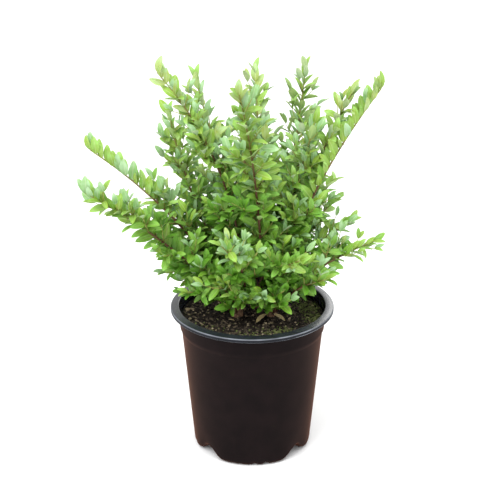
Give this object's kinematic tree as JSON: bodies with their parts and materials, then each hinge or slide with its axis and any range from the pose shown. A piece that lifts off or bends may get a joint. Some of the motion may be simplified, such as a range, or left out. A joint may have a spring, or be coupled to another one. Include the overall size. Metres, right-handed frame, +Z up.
{
  "type": "potted box honeysuckle shrub",
  "caption": "Small-leaved evergreen shrub with slender arching shoots in opposite leaf pairs, growing in a round black plastic nursery pot filled with compost.",
  "frame": {"origin": "middle of the pot's flat underside", "axes": "+Z up along the pot's axis, -Y towards the picture's camera, +X to its right"},
  "size_m": [0.3157, 0.2557, 0.4261],
  "materials": {
    "pot": "thin moulded polypropylene, dark brown outside and black on the rim and inside, slight sheen",
    "compost": "moist granular bark and peat compost, near black",
    "bark": "thin reddish-brown bark, slightly rough",
    "foliage": "small glossy leaves, bright mid-green with yellow-green tips"
  },
  "bodies": {
    "root": {"pot": "pot", "compost": "compost", "stem_left": "bark", "stem_right": "bark", "stem_rear": "bark", "bough_left_top": "bark", "bough_left_arch": "bark", "bough_left_low": "bark", "bough_left_upright": "bark", "bough_left_inner": "bark", "bough_centre_fore": "bark", "bough_centre_rear": "bark", "bough_centre_right": "bark", "bough_right_crest": "bark", "bough_right_inner": "bark", "bough_right_arch": "bark", "bough_right_small": "bark", "bough_right_spray": "bark", "bough_right_low": "bark", "bough_front_right": "bark", "bough_front_left": "bark", "bough_back_left": "bark", "bough_back_middle": "bark", "bough_back_right": "bark", "bough_back_low_left": "bark", "foliage_left_top": "foliage", "foliage_left_arch": "foliage", "foliage_left_low": "foliage", "foliage_left_upright": "foliage", "foliage_left_inner": "foliage", "foliage_centre_fore": "foliage", "foliage_centre_rear": "foliage", "foliage_centre_right": "foliage", "foliage_right_crest": "foliage", "foliage_right_inner": "foliage", "foliage_right_arch": "foliage", "foliage_right_small": "foliage", "foliage_right_spray": "foliage", "foliage_right_low": "foliage", "foliage_front_right": "foliage", "foliage_right_bottom": "foliage", "foliage_front_left": "foliage", "foliage_front_low_left": "foliage", "foliage_front_centre": "foliage", "foliage_left_bottom": "foliage", "foliage_left_drape": "foliage", "foliage_front_right_near": "foliage", "foliage_front_right_low": "foliage", "foliage_back_left": "foliage", "foliage_back_middle": "foliage", "foliage_back_right": "foliage", "foliage_back_low_left": "foliage", "foliage_back_low": "foliage"}
  },
  "joints": []
}
